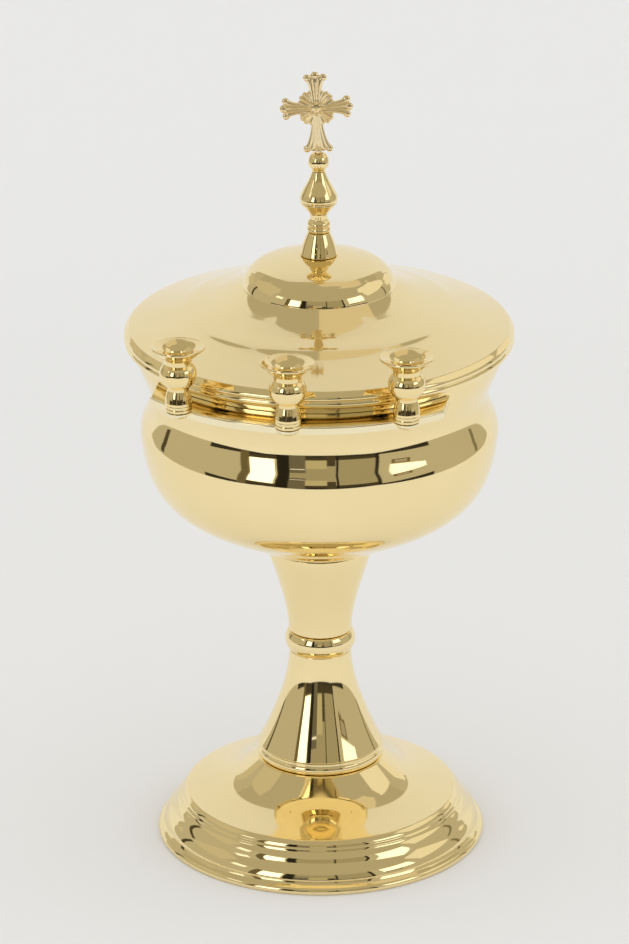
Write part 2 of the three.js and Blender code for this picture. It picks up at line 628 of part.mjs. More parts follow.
const crossStand = new THREE.Group();
crossStand.position.set(0, 0, ballTop + SEAT_GAP);
crossStand.rotation.set(0, 0, CROSS_TURN);
part.add(crossStand);
const crossMesh = addPiece('cross', toGeometry(cross), gilt(0.25), crossStand);
crossMesh.geometry.rotateX(Math.PI / 2).translate(0, 0, -crossFootY).rotateY(-CROSS_LEAN);

part.position.y = (SOCKET_CIRCLE_R + SOCKET_DISH_R - LID_R) / 2;

export default part;
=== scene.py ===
"""Looks of the holy water bowl: gold plated brass, spun, turned and cast, in a white studio.

The frame is in metres and the outlines below are in millimetres about the bowl's own axis,
with the height z above the floor.
"""
import math

import bpy
import numpy as np
from mathutils import Matrix, Vector


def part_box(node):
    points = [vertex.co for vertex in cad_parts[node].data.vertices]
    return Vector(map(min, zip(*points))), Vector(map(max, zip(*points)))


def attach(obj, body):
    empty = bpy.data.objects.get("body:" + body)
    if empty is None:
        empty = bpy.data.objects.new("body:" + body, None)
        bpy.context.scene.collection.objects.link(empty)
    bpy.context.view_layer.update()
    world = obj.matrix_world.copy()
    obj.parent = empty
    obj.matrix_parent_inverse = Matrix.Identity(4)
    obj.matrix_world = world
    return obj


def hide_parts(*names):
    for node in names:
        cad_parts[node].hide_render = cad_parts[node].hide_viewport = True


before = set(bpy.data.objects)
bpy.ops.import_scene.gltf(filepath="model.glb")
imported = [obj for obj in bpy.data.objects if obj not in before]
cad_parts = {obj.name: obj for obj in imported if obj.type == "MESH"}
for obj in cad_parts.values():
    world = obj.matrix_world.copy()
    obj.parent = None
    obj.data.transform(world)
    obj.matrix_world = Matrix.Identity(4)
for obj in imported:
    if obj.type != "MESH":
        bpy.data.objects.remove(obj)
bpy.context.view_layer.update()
scene = bpy.context.scene
scene.view_settings.view_transform = "Standard"

MM = 0.001
lid_low, lid_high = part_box("lid_shell")
AXIS = Vector(((lid_low.x + lid_high.x) / 2, (lid_low.y + lid_high.y) / 2, 0))

# Camera: a long lens, three metres away and looking down on the bowl

CAMERA_REACH = 3000  # level distance from the bowl's axis
CAMERA_HEIGHT = 1426
CAMERA_TURN = math.radians(7.87)  # round the bowl, towards +X
CAMERA_PAN = math.radians(0.056)
CAMERA_PITCH = math.radians(21.88)
CAMERA_ROLL = math.radians(-0.22)
FOCAL_PX = 5692
IMAGE_PX = 944
SENSOR = 36

toward_camera = Vector((math.sin(CAMERA_TURN), -math.cos(CAMERA_TURN), 0))
camera = bpy.data.objects.new("camera", bpy.data.cameras.new("camera"))
scene.collection.objects.link(camera)
scene.camera = camera
camera.data.sensor_width = SENSOR
camera.data.lens = SENSOR * FOCAL_PX / IMAGE_PX
camera.data.clip_end = 50
camera.matrix_world = (
    Matrix.Translation(AXIS + toward_camera * CAMERA_REACH * MM + Vector((0, 0, CAMERA_HEIGHT * MM)))
    @ Matrix.Rotation(CAMERA_TURN + CAMERA_PAN, 4, "Z")
    @ Matrix.Rotation(math.pi / 2 - CAMERA_PITCH, 4, "X")
    @ Matrix.Rotation(CAMERA_ROLL, 4, "Z")
)


# Colours and nodes


def linear(code, alpha=1.0):
    """An sRGB hex colour as linear RGBA."""
    parts = [int(code[i : i + 2], 16) / 255 for i in (1, 3, 5)]
    return [c / 12.92 if c <= 0.04045 else ((c + 0.055) / 1.055) ** 2.4 for c in parts] + [alpha]


def node(tree, kind, links=(), **settings):
    """Adds a node; settings go on the node, and links feeds its inputs with values or output sockets."""
    made = tree.nodes.new(kind)
    for key, value in settings.items():
        setattr(made, key, value)
    for socket, value in dict(links).items():
        if isinstance(value, bpy.types.NodeSocket):
            tree.links.new(value, made.inputs[socket])
        else:
            made.inputs[socket].default_value = value
    return made


def new_material(name):
    """An empty material and its tree."""
    material = bpy.data.materials.new(name)
    material.use_nodes = True
    material.node_tree.nodes.clear()
    return material, material.node_tree


def emission(name, code, strength=1.0):
    """A surface of the room that shines by itself in one colour."""
    material, tree = new_material(name)
    glow = node(tree, "ShaderNodeEmission", {"Color": linear(code), "Strength": strength})
    node(tree, "ShaderNodeOutputMaterial", {"Surface": glow.outputs[0]})
    return material


# Metals: the real size of each pattern in mm

SMEAR = 26.3  # fingering and uneven polish
TURNING_LINE = 1.11  # coarser than the real rings, so that they show
WAVER = 71.4
CAST_GRAIN = 0.385
PIT_SPACING = 2.38


def per_metre(size):
    """The scale at which a pattern has this size in mm."""
    return 1 / (size * MM)


def axis_coordinates(tree):
    """Object coordinates about the bowl's axis, and the same wound onto (radius, 0, height)."""
    place = node(tree, "ShaderNodeTexCoord").outputs["Object"]
    centred = node(tree, "ShaderNodeVectorMath", {0: place, 1: AXIS}, operation="SUBTRACT").outputs[0]
    split = node(tree, "ShaderNodeSeparateXYZ", {0: centred})
    flat = node(tree, "ShaderNodeCombineXYZ", {0: split.outputs[0], 1: split.outputs[1]})
    radius = node(tree, "ShaderNodeVectorMath", {0: flat.outputs[0]}, operation="LENGTH").outputs["Value"]
    wound = node(tree, "ShaderNodeCombineXYZ", {0: radius, 2: split.outputs[2]})
    return centred, wound.outputs[0]


def metal(name, code, roughness, spread=0.02, lines=0.0, waves=0.0, grain=0.0, pits=0.0, tint="#EFD27C"):
    """A polished metal. roughness and its spread are uneven as handling and polishing leave them;
    lines are lathe-polishing rings, waves the slow unevenness of sheet or of a hand-polished piece,
    grain a fine cast skin and pits the pinholes of a casting. Each of the last four is a depth in mm.
    tint is the colour that the metal turns to in places."""
    material, tree = new_material(name)
    centred, wound = axis_coordinates(tree)
    cloud = node(tree, "ShaderNodeTexNoise", {"Vector": centred, "Scale": per_metre(SMEAR), "Detail": 3.0})
    smear = node(
        tree, "ShaderNodeMapRange",
        {0: cloud.outputs[0], 1: 0.35, 2: 0.7, 3: roughness - spread, 4: roughness + spread},
    )
    tinted = node(tree, "ShaderNodeMapRange", {0: cloud.outputs[0], 1: 0.3, 2: 0.8, 3: 0.0, 4: 0.1})
    warm = node(
        tree, "ShaderNodeMix", {0: tinted.outputs[0], 6: linear(code), 7: linear(tint)}, data_type="RGBA",
    )
    normal = None
    layers = (
        (lines, wound, TURNING_LINE, 1.0, 0.35),
        (waves, centred, WAVER, 1.0, 1.0),
        (grain, centred, CAST_GRAIN, 3.0, 1.0),
    )
    for depth, vector, size, detail, strength in layers:
        if not depth:
            continue
        pattern = {"Vector": vector, "Scale": per_metre(size), "Detail": detail}
        noise = node(tree, "ShaderNodeTexNoise", pattern)
        bump = {"Height": noise.outputs[0], "Distance": depth * MM, "Strength": strength}
        if normal:
            bump["Normal"] = normal
        normal = node(tree, "ShaderNodeBump", bump).outputs[0]
    if pits:
        cells = node(tree, "ShaderNodeTexVoronoi", {"Vector": centred, "Scale": per_metre(PIT_SPACING)})
        hole = node(tree, "ShaderNodeMapRange", {0: cells.outputs[0], 1: 0.0, 2: 0.16, 3: 0.0, 4: 1.0})
        bump = {"Height": hole.outputs[0], "Distance": pits * MM, "Strength": 1.0}
        if normal:
            bump["Normal"] = normal
        normal = node(tree, "ShaderNodeBump", bump).outputs[0]
    shader = {"Base Color": warm.outputs[2], "Metallic": 1.0, "Roughness": smear.outputs[0]}
    if normal:
        shader["Normal"] = normal
    surface = node(tree, "ShaderNodeBsdfPrincipled", shader)
    node(tree, "ShaderNodeOutputMaterial", {"Surface": surface.outputs[0]})
    return material


# Gold plate on brass sheet that was spun over a former, polished on the lathe and buffed:
# a mirror with very faint rings and a slow waver in what it reflects
polished_gilt = metal("polished_gilt", "#FFEBB6", 0.05, 0.012, lines=0.0006, waves=0.02)
# Gold plate on turned brass bar, polished: a mirror with turning rings and a few pinholes
gilt_turning = metal("gilt_turning", "#FFE9B0", 0.07, 0.02, lines=0.002, waves=0.01, pits=0.03)
# Gold plate on flat brass plate, drawn over emery and then buffed by hand: paler and less of a mirror
gilt_plate = metal("gilt_plate", "#FFF3CE", 0.12, 0.03, waves=0.02, grain=0.002)
# Gold plate on a sand casting that was tumbled, not buffed: a satin skin with grain and pinholes
gilt_casting = metal("gilt_casting", "#FFEABC", 0.2, 0.05, grain=0.02, pits=0.03)
# Bare machined brass inside the stem, dulled by handling
plain_brass = metal("plain_brass", "#E2BE72", 0.28, 0.06, lines=0.01)
# The socket screws are steel, gold plated together with the sockets: bright heads with turning marks
gilt_screw = metal("gilt_screw", "#FCE3A4", 0.16, 0.04, lines=0.003)
# Zinc plated steel rods, nuts and washers, turned and tumbled: grey with a fine dull grain
zinc_steel = metal("zinc_steel", "#C9CBCD", 0.3, 0.08, lines=0.006, grain=0.004, tint="#9FA3A8")


# Stage: white paper underneath and behind, and the room round the table, which only the metal sees


def mesh_object(name, vertices, faces, material=None):
    """An object from its corners, in metres, and its faces."""
    mesh = bpy.data.meshes.new(name)
    mesh.from_pydata(vertices, [], faces)
    obj = bpy.data.objects.new(name, mesh)
    scene.collection.objects.link(obj)
    if material:
        mesh.materials.append(material)
    return obj


def stage_place(turn, reach, height):
    """A point of the stage: turn in degrees clockwise from the camera, reach and height in mm."""
    angle = CAMERA_TURN + math.radians(turn)
    return (
        AXIS.x + math.sin(angle) * reach * MM,
        AXIS.y - math.cos(angle) * reach * MM,
        height * MM,
    )


PAPER_TOOTH = 1.11
PAPER_SHADE_LOW = 600  # painted shade: the paper darkens from this height to the next, where the light falls off
PAPER_SHADE_HIGH = 3100
CUT_OUT_R = 91


def studio_paper():
    """White paper with a fine tooth, with painted shade that greys it a little high up, where the light falls
    off. It isn't there where it is seen from behind or below, so that it never hides the bowl, and it is cut
    out under the hollow foot to let light in."""
    material, tree = new_material("studio_paper")
    place = node(tree, "ShaderNodeTexCoord").outputs["Object"]
    tooth = {"Vector": place, "Scale": per_metre(PAPER_TOOTH), "Detail": 2.0}
    tooth = node(tree, "ShaderNodeTexNoise", tooth)
    fibre = node(tree, "ShaderNodeBump", {"Height": tooth.outputs[0], "Distance": 0.1 * MM, "Strength": 0.2})
    height = node(tree, "ShaderNodeSeparateXYZ", {0: place}).outputs[2]
    # Painted shade: the paper's colour darkens with height, in place of the light falling off towards the top
    fade = {0: height, 1: PAPER_SHADE_LOW * MM, 2: PAPER_SHADE_HIGH * MM, 3: 0.0, 4: 1.0}
    fade = node(tree, "ShaderNodeMapRange", fade).outputs[0]
    white_and_shade = {0: fade, 6: linear("#E9E8E6"), 7: linear("#CFCBC6")}
    white_and_shade = node(tree, "ShaderNodeMix", white_and_shade, data_type="RGBA")
    surface = {"Base Color": white_and_shade.outputs[2], "Roughness": 0.8, "Normal": fibre.outputs[0]}
    surface = node(tree, "ShaderNodeBsdfPrincipled", surface).outputs[0]
    back = node(tree, "ShaderNodeNewGeometry").outputs["Backfacing"]
    seen = node(tree, "ShaderNodeLightPath").outputs["Is Camera Ray"]
    behind = node(tree, "ShaderNodeMath", {0: back, 1: seen}, operation="MULTIPLY")
    centred = node(tree, "ShaderNodeVectorMath", {0: place, 1: AXIS}, operation="SUBTRACT").outputs[0]
    level = node(tree, "ShaderNodeVectorMath", {0: centred, 1: (1, 1, 0)}, operation="MULTIPLY").outputs[0]
    radius = node(tree, "ShaderNodeVectorMath", {0: level}, operation="LENGTH").outputs["Value"]
    under_foot = node(tree, "ShaderNodeMath", {0: radius, 1: CUT_OUT_R * MM}, operation="LESS_THAN")
    gone = node(tree, "ShaderNodeMath", {0: behind.outputs[0], 1: under_foot.outputs[0]}, operation="MAXIMUM")
    clear = node(tree, "ShaderNodeBsdfTransparent").outputs[0]
    mixed = node(tree, "ShaderNodeMixShader", {0: gone.outputs[0], 1: surface, 2: clear})
    node(tree, "ShaderNodeOutputMaterial", {"Surface": mixed.outputs[0]})
    return material


# The paper lies flat, bends up in a cove and then stands upright, where it is narrower
FLOOR_HALF_W = 1300
PAPER_HALF_W = 770
FLOOR_FRONT = 1900
COVE_START = 700
COVE_R = 500
COVE_TOP = 3100
COVE_STEPS = 24

paper_section = [(FLOOR_FRONT, 0.0), (-COVE_START, 0.0)]
for i in range(1, COVE_STEPS + 1):
    bend = math.radians(90 * i / COVE_STEPS)
    paper_section.append((-COVE_START - COVE_R * math.sin(bend), COVE_R * (1 - math.cos(bend))))
paper_section += [(-COVE_START - COVE_R, height) for height in (COVE_R + 50, COVE_TOP)]
across = Vector((math.cos(CAMERA_TURN), math.sin(CAMERA_TURN), 0))
points = []
for forward, height in paper_section:
    half_w = PAPER_HALF_W if height > COVE_R else FLOOR_HALF_W
    for side in (-half_w, half_w):
        spot = AXIS + toward_camera * forward * MM + across * side * MM
        points.append((spot.x, spot.y, height * MM))
strips = [(2 * i, 2 * i + 1, 2 * i + 3, 2 * i + 2) for i in range(len(paper_section) - 1)]
backdrop = mesh_object("backdrop", points, strips, studio_paper())
for face in backdrop.data.polygons:
    face.use_smooth = True

# The room, as the polished metal mirrors it: flat shapes at these turns and heights round the bowl

ROOM_REACH = 3600
ROOM_LOW = -900
ROOM_HIGH = 2700


def unseen(panel):
    """Only the metal sees this piece of the stage."""
    panel.visible_camera = False
    panel.visible_diffuse = False
    panel.visible_shadow = False


def room_panel(name, left, right, low, high, code, strength=1.0, reach=ROOM_REACH):
    """A part of the room that spans turns and heights round the bowl."""
    count = max(1, round(abs(right - left) / 4))
    points = []
    for i in range(count + 1):
        turn = left + (right - left) * i / count
        points += [stage_place(turn, reach, low), stage_place(turn, reach, high)]
    faces = [(2 * i, 2 * i + 1, 2 * i + 3, 2 * i + 2) for i in range(count)]
    unseen(mesh_object(name, points, faces, emission(name, code, strength)))


room_panel("room_wall", -180, 180, ROOM_LOW, ROOM_HIGH, "#BAB5A4")
ceiling = [stage_place(turn, ROOM_REACH, ROOM_HIGH) for turn in range(0, 360, 10)]
light_corners = ((180, 150), (180, 1500), (150, 1800), (120, 1800), (100, 1500), (100, 150))
light_half = [stage_place(turn, reach, ROOM_HIGH - 10) for turn, reach in light_corners]
for name, corners, code in (
    ("room_ceiling", ceiling, "#B2AC9A"),
    ("ceiling_light_half", light_half, "#D6CBB4"),
):
    unseen(mesh_object(name, corners, [tuple(range(len(corners)))], emission(name, code)))
room_panel("room_shade", -50, 38, ROOM_LOW, 430, "#453F33", reach=3560)
room_panel("room_floor_shade", -75, 75, ROOM_LOW, 60, "#35322B", reach=3540)
room_panel("room_front", -19, 36, 430, 2650, "#A09A84", reach=3560)
room_panel("window_left", -45.5, -29, 470, 2300, "#FFFFFF", 1.9, reach=3520)
room_panel("window_right", 46, 72, 1250, 2600, "#FFFFFF", 1.5, reach=3520)
room_panel("window_side", -72, -60, 1900, 2600, "#FFFFFF", 1.2, reach=3520)
room_panel("post_left", -52, -46, -200, 2600, "#6A6048", reach=3510)
room_panel("post_window", -27.5, -19.5, -200, 2600, "#26241F", reach=3500)
room_panel("shelf_back", -19.5, -9, -200, 1750, "#6B675B", reach=3510)
room_panel("shelf_light", -19, -9.5, 1390, 1450, "#FFFFFF", 1.0, reach=3500)
room_panel("cupboard", -9, 4.5, 480, 1360, "#B8B196", reach=3500)
room_panel("doorway", 4.5, 10, -200, 1100, "#4A4436", reach=3505)
room_panel("post_middle", 10.5, 12, -200, 2600, "#26231F", reach=3500)
room_panel("post_right", 36, 38.5, -200, 2600, "#2A241C", reach=3500)
room_panel("picture_frame", 47, 60, 820, 1180, "#6E5F40", reach=3500)
room_panel("picture", 49, 58, 880, 1120, "#A59C8E", reach=3490)
room_panel("side_light_left", -126, -80, 1060, 2470, "#C6BFAA", reach=2000)
room_panel("rim_light_left", -146, -126, 560, 1000, "#C6BFAA", reach=2000)
room_panel("side_light_right", 80, 126, 1060, 2470, "#ECE7D9", reach=2000)
room_panel("rim_light_right", 126, 146, 560, 1000, "#ECE7D9", reach=2000)

# Dark clips along the upper edge of the paper
CLIP_PLANE = 1190  # just in front of the upright paper
for turn in (-151, -166, 164, 150):
    reach = -CLIP_PLANE / math.cos(math.radians(turn))
    room_panel(f"clip_{turn}", turn - 1, turn + 1, COVE_TOP - 60, COVE_TOP + 50, "#3A352C", reach=reach)

room_panel("stand_left", -117, -113, -200, 1700, "#4C4738", reach=3500)
room_panel("stand_right", 113, 116, -200, 1500, "#7C7660", reach=3500)

world = bpy.data.worlds.new("studio")
scene.world = world
world.use_nodes = True
tree = world.node_tree
tree.nodes.clear()
sky = node(tree, "ShaderNodeBackground", {"Color": linear("#FDFEFF"), "Strength": 1.09})
node(tree, "ShaderNodeOutputWorld", {"Surface": sky.outputs[0]})


# Shapes


def curve_points(start, step, fineness):
    """Points along one step of an outline: 2 numbers end a line, 4 a quadratic and 6 a cubic curve."""
    knots = [np.array(start, float)] + [np.array(step[i : i + 2], float) for i in range(0, len(step), 2)]
    reach = sum(np.linalg.norm(b - a) for a, b in zip(knots, knots[1:]))
    count = 2 if len(knots) == 2 else max(8, int(reach / fineness))
    t = np.linspace(0, 1, count + 1)[:, None]
    while len(knots) > 1:
        knots = [a * (1 - t) + b * t for a, b in zip(knots, knots[1:])]
    return knots[0]


def trim(points, length, from_end):
    """The points without their first or last stretch of that length."""
    run = points[::-1] if from_end else points
    left = length
    for i in range(len(run) - 1):
        stretch = np.linalg.norm(run[i + 1] - run[i])
        if stretch > left:
            cut = run[i] + (run[i + 1] - run[i]) * left / stretch
            run = np.vstack([cut, run[i + 1 :]])
            break
        left -= stretch
    return run[::-1] if from_end else run


def outline(start, *steps, soft=0.3, closed=True, fineness=0.6):
    """A section in the r-z half plane in mm, with its corners rounded by about soft. The steps are as in
    curve_points, and fineness is the length of a facet on a curve."""
    runs = []
    here = start
    for step in steps:
        runs.append(curve_points(here, step, fineness))
        here = step[-2:]
    if closed:
        runs.append(curve_points(here, start, fineness))
    corners = list(range(len(runs))) if closed else list(range(1, len(runs)))
    fillets = {}
    lengths = [np.linalg.norm(np.diff(r, axis=0), axis=1).sum() for r in runs]
    for i in corners:
        before, after = runs[i - 1], runs[i]
        a = before[-1] - before[-2]
        b = after[1] - after[0]
        turn = math.degrees(math.acos(np.clip(a @ b / np.linalg.norm(a) / np.linalg.norm(b), -1, 1)))
        if turn < 6:
            continue
        cut = min(soft, 0.4 * lengths[i - 1], 0.4 * lengths[i])
        corner = after[0].copy()
        runs[i - 1] = trim(before, cut, True)
        runs[i] = trim(after, cut, False)
        t = np.linspace(0, 1, 6)[1:-1, None]
        fillets[i] = runs[i - 1][-1] * (1 - t) ** 2 + 2 * corner * t * (1 - t) + runs[i][0] * t**2
    points = []
    for i, run in enumerate(runs):
        if i in fillets:
            points.append(fillets[i])
        points.append(run if i == 0 or i in fillets else run[1:])
    points = np.vstack(points)
    if closed and np.linalg.norm(points[0] - points[-1]) < 1e-6:
        points = points[:-1]
    return points


def lathe(name, points, segments, material, closed=True, centre=(0.0, 0.0)):
    """Turns an outline about the upright axis through centre, with its normals outwards."""
    r, z = points[:, 0], points[:, 1]
    nr, nz = np.roll(r, -1), np.roll(z, -1)
    if (r * nz - nr * z).sum() < 0:
        points = points[::-1]
    rows = [(np.full(segments, radius), height) for radius, height in points]
    return wound(name, rows, material, closed, centre)


def wound(name, rows, material, closed=True, centre=(0.0, 0.0)):
    """Skin over rings: each row has its radii all the way round and its height, in mm."""
    segments = len(rows[0][0])
    turns = np.arange(segments) * 2 * math.pi / segments
    cos, sin = np.cos(turns), np.sin(turns)
    vertices = []
    rings = []
    for radii, height in rows:
        if radii[0] < 1e-6:
            rings.append([len(vertices)] * segments)
            vertices.append((AXIS.x + centre[0] * MM, AXIS.y + centre[1] * MM, height * MM))
            continue
        rings.append(list(range(len(vertices), len(vertices) + segments)))
        xs = AXIS.x + (centre[0] + radii * cos) * MM
        ys = AXIS.y + (centre[1] + radii * sin) * MM
        vertices += [(x, y, height * MM) for x, y in zip(xs, ys)]
    faces = []
    last = len(rings) if closed else len(rings) - 1
    for k in range(last):
        low, high = rings[k], rings[(k + 1) % len(rings)]
        for i in range(segments):
            j = (i + 1) % segments
            faces.append(tuple(dict.fromkeys([low[i], low[j], high[j], high[i]])))
    return smooth(mesh_object(name, vertices, faces, material))


def smooth(obj, angle=35):
    """Shades the object smoothly, but for edges sharper than this angle in degrees."""
    for face in obj.data.polygons:
        face.use_smooth = True
    obj.data.set_sharp_from_angle(angle=math.radians(angle))
    return obj


def baked(obj):
    """The object with its modifiers worked into its mesh."""
    graph = bpy.context.evaluated_depsgraph_get()
    mesh = bpy.data.meshes.new_from_object(obj.evaluated_get(graph))
    obj.modifiers.clear()
    obj.data = mesh
    return obj


def combine(obj, tools, operation):
    """Joins the tools to the object or cuts them out of it."""
    for tool in tools:
        step = obj.modifiers.new("combine", "BOOLEAN")
        step.operation = operation
        step.object = tool
        step.solver = "EXACT"
    baked(obj)
    for tool in tools:
        bpy.data.objects.remove(tool)
    return obj


def put(obj, body, nodes):
    """Lets the piece stand for its nodes and move with its body."""
    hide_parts(*nodes)
    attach(obj, body)


# Foot, stem and bowl

SHELL_STEPS = 240
STEM_STEPS = 192
SMALL_STEPS = 128
TIE_ROD_R = 4
ROD_HOLE_R = 4.4
FINIAL_ROD_R = 2
FINIAL_HOLE_R = 2.3

# The foot has a bead at its edge, a rippled wall, a nearly flat brim and a neck like a bell
foot = outline(
    (93.6, 0), (95.3, 2, 93.2, 4), (92.4, 4.4), (91, 5.2), (90, 6.8), (90.6, 7.4),
    (90.14, 9.56, 88.79, 11.56, 87.2, 13.1), (86.12, 14.14, 85.16, 15.35, 84.5, 16.7),
    (83.85, 18.03, 82.96, 19.27, 81.9, 20.3), (81.43, 20.76, 81.04, 21.36, 80.9, 22),
    (80.5, 22.5), (79.9, 23.2),
    (79.66, 24.34, 78.82, 25.28, 78.1, 25.85), (77.78, 26.27, 77.31, 26.61, 76.8, 26.75),
    (73.86, 27.54, 70.93, 28.34, 68, 29.15), (64.45, 30.13, 60.95, 31.27, 57.5, 32.56),
    (53.6, 34.02, 49.88, 36.1, 46.6, 38.66), (43.2, 41.32, 39.86, 44.07, 36.6, 46.9),
    (35.8, 47.2),
    (ROD_HOLE_R, 47.2), (ROD_HOLE_R, 45.2), (34.6, 45.2),
    (38.6, 42.2, 42.1, 39.7, 45.4, 37), (48.9, 34.2, 52.8, 31.9, 57, 30.3),
    (63.1, 28, 69.5, 26.6, 75.9, 25.3),
    (78.4, 22.3), (80.6, 19.2), (83.2, 15.7), (85.9, 12.1), (88.9, 7),
    (91.2, 3.6), (91.4, 0),
)
put(lathe("foot", foot, SHELL_STEPS, polished_gilt), "bowl", ["foot_shell"])

flange = outline(
    (ROD_HOLE_R, 47.45), (34.9, 47.45), (37.3, 49.55, 35.9, 52.15), (35.1, 52.9), (35.1, 54.3),
    (24, 54.3), (23, 49.85), (ROD_HOLE_R, 49.85),
)
put(lathe("flange", flange, STEM_STEPS, polished_gilt), "bowl", ["stem_flange"])

lower_stem = outline(
    (35.4, 54.55), (35.9, 55.35), (35.2, 56.6),
    (30.8, 64.3, 25.9, 77.3), (22.1, 87.6, 18.3, 97.8, 17.8, 112.8),
    (17.2, 113.4), (ROD_HOLE_R, 113.4), (ROD_HOLE_R, 111.4), (16.4, 111.4),
    (16.9, 97.3, 20.6, 87.1, 24.6, 76.8), (29.4, 63.8, 33.7, 56), (34, 54.55),
)
put(lathe("lower_stem_cone", lower_stem, STEM_STEPS, polished_gilt), "bowl", ["lower_stem"])

collar = outline(
    (ROD_HOLE_R, 113.65), (17.2, 113.65), (18.4, 113.95), (22.1, 119.4, 18.4, 124.9), (17.2, 125.2),
    (ROD_HOLE_R, 125.2),
)
put(lathe("collar", collar, STEM_STEPS, polished_gilt), "bowl", ["stem_collar"])

upper_stem = outline(
    (17.6, 125.45), (18.1, 125.95), (18.3, 145.8, 30, 170.4, 29.9, 177.3),
    (28.5, 177.3), (28.4, 171, 17, 146, 16.7, 127.45), (ROD_HOLE_R, 127.45), (ROD_HOLE_R, 125.45),
)
put(lathe("upper_stem_cone", upper_stem, STEM_STEPS, polished_gilt), "bowl", ["upper_stem"])

# The bowl is round below, drawn in at its waist and flared to its lip
bowl = outline(
    (0, 177.55), (29.6, 177.55), (36.2, 180.6, 42.7, 182.9, 50, 188.2),
    (80.3, 202.9, 99, 208.3, 101.3, 249), (101.3, 252.08, 100.55, 255.21, 99.25, 258),
    (97.21, 262.37, 95.6, 267.18, 95.6, 272),
    (96.9, 281, 104, 290.3, 104, 299.4), (103.4, 300.6), (102.6, 300.6),
    (102.3, 290, 95.2, 281, 94.2, 272), (94.2, 267.2, 95.8, 262.2, 97.8, 257.6),
    (99.1, 254.8, 99.9, 252, 99.9, 249),
    (97.6, 209.7, 79.9, 204.4, 49.4, 189.6), (29, 179.35), (0, 178.95),
    closed=False,
    fineness=0.9,
)
bowl_skin = lathe("bowl_skin", bowl, SHELL_STEPS, polished_gilt, closed=False)
put(bowl_skin, "bowl", ["bowl_shell"])

# Lid and finial

# The lid's slope swells and dips a little, which draws the rings of light that it mirrors
lid = outline(
    (107.2, 300.85), (108.6, 301.65), (110.9, 303.9, 109.2, 305.9), (110.4, 307.6, 108.9, 309.2),
    (107, 311.2),
    (101.33, 313.04, 95.67, 314.9, 90, 316.75), (87.32, 317.63, 84.65, 318.55, 82, 319.5),
    (80.65, 319.98, 79.31, 320.52, 78, 321.1), (76.84, 321.61, 75.69, 322.16, 74.5, 322.6),
    (73.02, 323.15, 71.51, 323.64, 70, 324.1), (68.33, 324.61, 66.66, 325.14, 65, 325.7),
    (63.82, 326.09, 62.66, 326.55, 61.5, 327), (59.31, 327.84, 57.14, 328.74, 55, 329.7),
    (50.98, 331.51, 46.92, 333.29, 43.1, 335.5),
    (43.07, 336.5, 42.71, 337.48, 42.3, 338.4), (42, 339.08, 41.69, 339.77, 41.3, 340.4),
    (40.91, 341.03, 40.5, 341.65, 40, 342.2), (39.16, 343.13, 38.44, 344.2, 37.4, 344.9),
    (36.28, 345.65, 35.23, 346.55, 34, 347.1), (30.18, 348.8, 26.06, 349.74, 22, 350.75),
    (18.27, 351.68, 14.42, 352.1, 10.6, 352.5),
    (FINIAL_HOLE_R, 352.5), (FINIAL_HOLE_R, 351.1), (10.2, 351.1), (18, 350.8, 25.9, 349.6, 33.2, 346.7),
    (35.4, 345.8, 37.4, 344.1, 38.9, 342.3), (40.6, 340.3, 41.3, 337.6, 41.7, 334.2),
    (60.1, 326.3), (78.5, 319.5), (105.6, 309.9), (105.8, 302.15), (101.8, 302.15), (101.8, 300.85),
)
put(lathe("lid", lid, SHELL_STEPS, polished_gilt), "lid", ["lid_shell"])

locating_ring = outline(
    (98.4, 291), (99.6, 291), (99.6, 300.85), (101.5, 300.85), (101.5, 302.05), (98.4, 302.05),
)
locating_band = lathe("locating_band", locating_ring, SHELL_STEPS, polished_gilt)
put(locating_band, "lid", ["lid_locating_ring"])

finial_cone = outline(
    (FINIAL_HOLE_R, 352.75), (10.4, 352.75), (10.6, 353.35), (9.1, 359.8, 6.2, 365.9), (FINIAL_HOLE_R, 365.9),
)
put(lathe("cone", finial_cone, SMALL_STEPS, gilt_turning), "lid", ["finial_cone"])

finial_ring = outline(
    (FINIAL_HOLE_R, 366.15), (5.9, 366.15), (7.3, 367.75, 5.9, 369.35), (7.2, 370.95, 5.6, 372.75),
    (4.95, 373.75), (4.95, 377.2), (FINIAL_HOLE_R, 377.2),
)
put(lathe("beads", finial_ring, SMALL_STEPS, gilt_turning), "lid", ["finial_ring"])

finial_knop = outline(
    (FINIAL_HOLE_R, 377.45), (5.4, 377.45), (7.4, 380.4, 10.4, 383.4), (10.3, 384.4),
    (11.9, 388.2, 6.2, 393.2, 3.6, 401.6),
    (FINIAL_HOLE_R, 401.6),
)
put(lathe("knop", finial_knop, SMALL_STEPS, gilt_turning), "lid", ["finial_knop"])

finial_ball = outline(
    (FINIAL_HOLE_R, 401.85), (3.6, 401.85), (3.6, 403.4, 5.6, 404.8),
    (6.2, 407.6, 5.6, 410.4, 3.8, 412), (FINIAL_HOLE_R, 412),
)
put(lathe("ball", finial_ball, SMALL_STEPS, gilt_turning), "lid", ["finial_ball"])

# Candle sockets

SOCKET_CIRCLE_R = 125
SOCKET_STEP = math.radians(30.2)
SOCKET_FOOT_Z = 297.25
SCREW_HOLE_R = 1.8
CANDLE_HOLE_R = 5.65
CANDLE_HOLE_FLOOR = 21
SIDES = ("left", "centre", "right")

